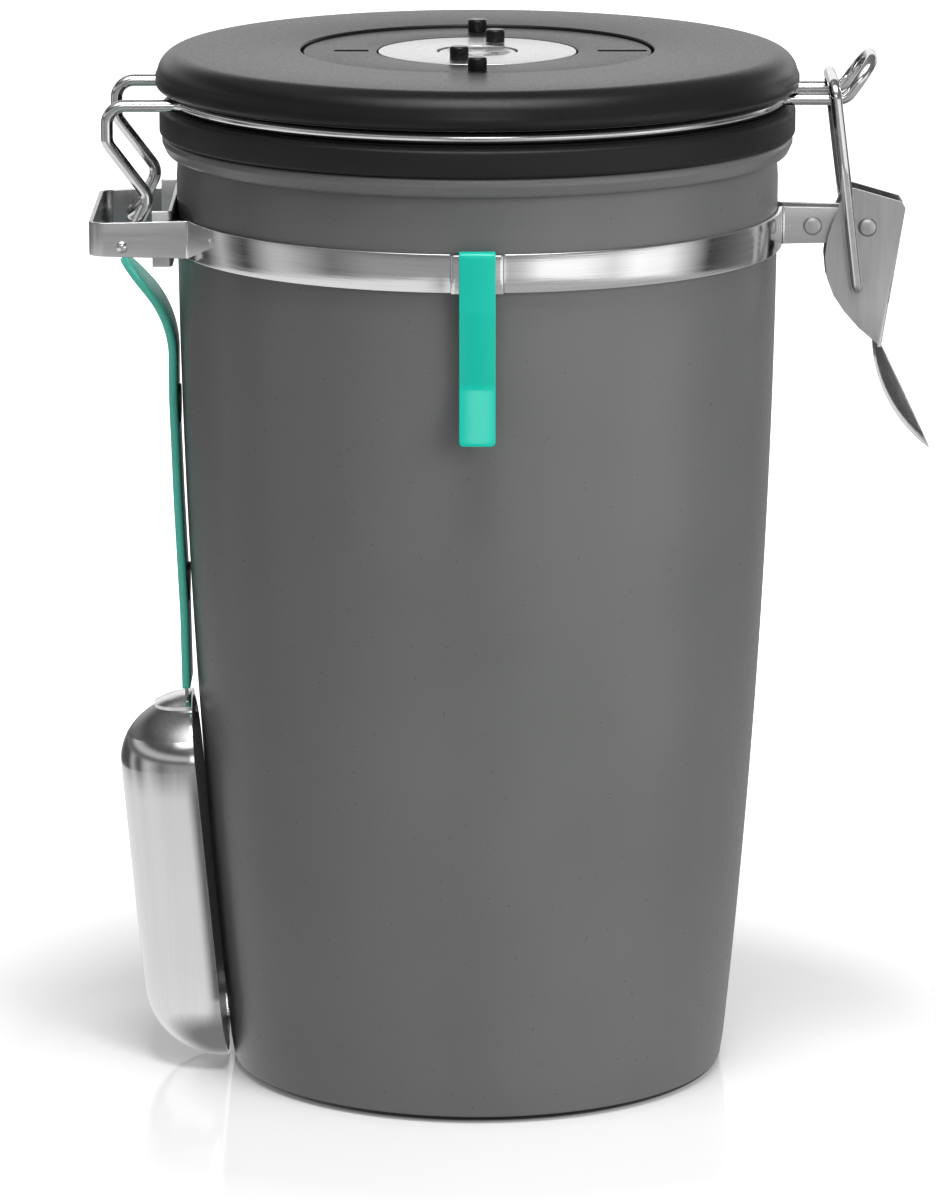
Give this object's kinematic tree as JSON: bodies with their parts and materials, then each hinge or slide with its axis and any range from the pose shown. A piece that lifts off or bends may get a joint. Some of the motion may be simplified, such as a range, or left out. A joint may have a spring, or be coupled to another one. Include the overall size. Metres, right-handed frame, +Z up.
{
  "type": "coffee canister",
  "caption": "Tapered steel canister with a wire-bail lid, one-way valve, date dials, over-centre latch, front clip and a magnetic scoop standing against its side.",
  "frame": {"origin": "on the canister's axis, at the level of the surface that it stands on", "axes": "+Z up along the canister's axis, +X towards the latch, -X towards the hinge, -Y towards the front clip"},
  "size_m": [0.1601, 0.1232, 0.2003],
  "materials": {
    "body_coat": "satin powder coat, dark grey",
    "band_steel": "polished stainless strip",
    "rivet_steel": "satin stainless",
    "teal_coat": "satin teal enamel",
    "wire_steel": "polished stainless wire",
    "lid_coat": "fine satin, very dark grey",
    "black_plastic": "satin black",
    "gasket_rubber": "matt black silicone",
    "peg_plastic": "glossy black",
    "dial_steel": "brushed disc",
    "lever_steel": "satin stainless sheet",
    "scoop_steel": "brushed stainless",
    "teal_sleeve": "soft teal sleeve",
    "magnet_plastic": "black coated magnets"
  },
  "bodies": {
    "canister": {"canister_body": "body_coat", "neck_band": "band_steel", "hinge_saddle": "band_steel", "band_rivet": "rivet_steel", "lever_pin": "rivet_steel"},
    "clip": {"front_clip": "teal_coat"},
    "lid": {"bail_wire": "wire_steel", "lid_cover": "lid_coat", "lid_base": "black_plastic", "lid_gasket": "gasket_rubber", "valve_hub": "dial_steel", "valve_screen": "band_steel"},
    "valve": {"valve_flap": "gasket_rubber"},
    "day_ring": {"day_dial": "lid_coat", "day_pegs": "peg_plastic"},
    "month_ring": {"month_dial": "black_plastic", "month_face": "dial_steel", "month_pegs": "peg_plastic"},
    "lever": {"latch_lever": "lever_steel"},
    "link": {"latch_link": "wire_steel"},
    "scoop": {"scoop_bowl": "scoop_steel", "scoop_tang": "scoop_steel", "scoop_handle": "teal_sleeve", "scoop_magnets": "magnet_plastic"}
  },
  "joints": [
    {"name": "lid_hinge", "type": "hinge", "parent": "canister", "child": "lid", "pos_m": [-0.0669, 0, 0.1633], "axis": [0, -1, 0], "range_deg": [0, 70]},
    {"name": "lever_hinge", "type": "hinge", "parent": "canister", "child": "lever", "pos_m": [0.0743, 0, 0.1646], "axis": [0, -1, 0], "range_deg": [0, 100]},
    {"name": "link_hinge", "type": "hinge", "parent": "lever", "child": "link", "pos_m": [0.0723, 0, 0.1529], "axis": [0, -1, 0], "range_deg": [-76, 0]},
    {"name": "day_turn", "type": "hinge", "parent": "lid", "child": "day_ring", "pos_m": [0, 0, 0.197], "axis": [0, 0, 1], "continuous": true},
    {"name": "month_turn", "type": "hinge", "parent": "lid", "child": "month_ring", "pos_m": [0, 0, 0.197], "axis": [0, 0, 1], "continuous": true},
    {"name": "valve_lift", "type": "slide", "parent": "lid", "child": "valve", "axis": [0, 0, 1], "range_m": [0, 0.0015], "stiffness_N_per_m": 5},
    {"name": "scoop_off", "type": "slide", "parent": "canister", "child": "scoop", "axis": [-1, 0, 0], "range_m": [0, 0.06]},
    {"name": "clip_lift", "type": "slide", "parent": "canister", "child": "clip", "axis": [0, 0, 1], "range_m": [0, 0.0072]}
  ],
  "couplings": [
    {"joint": "link_hinge", "follows": "lever_hinge", "ratio": -0.76}
  ]
}
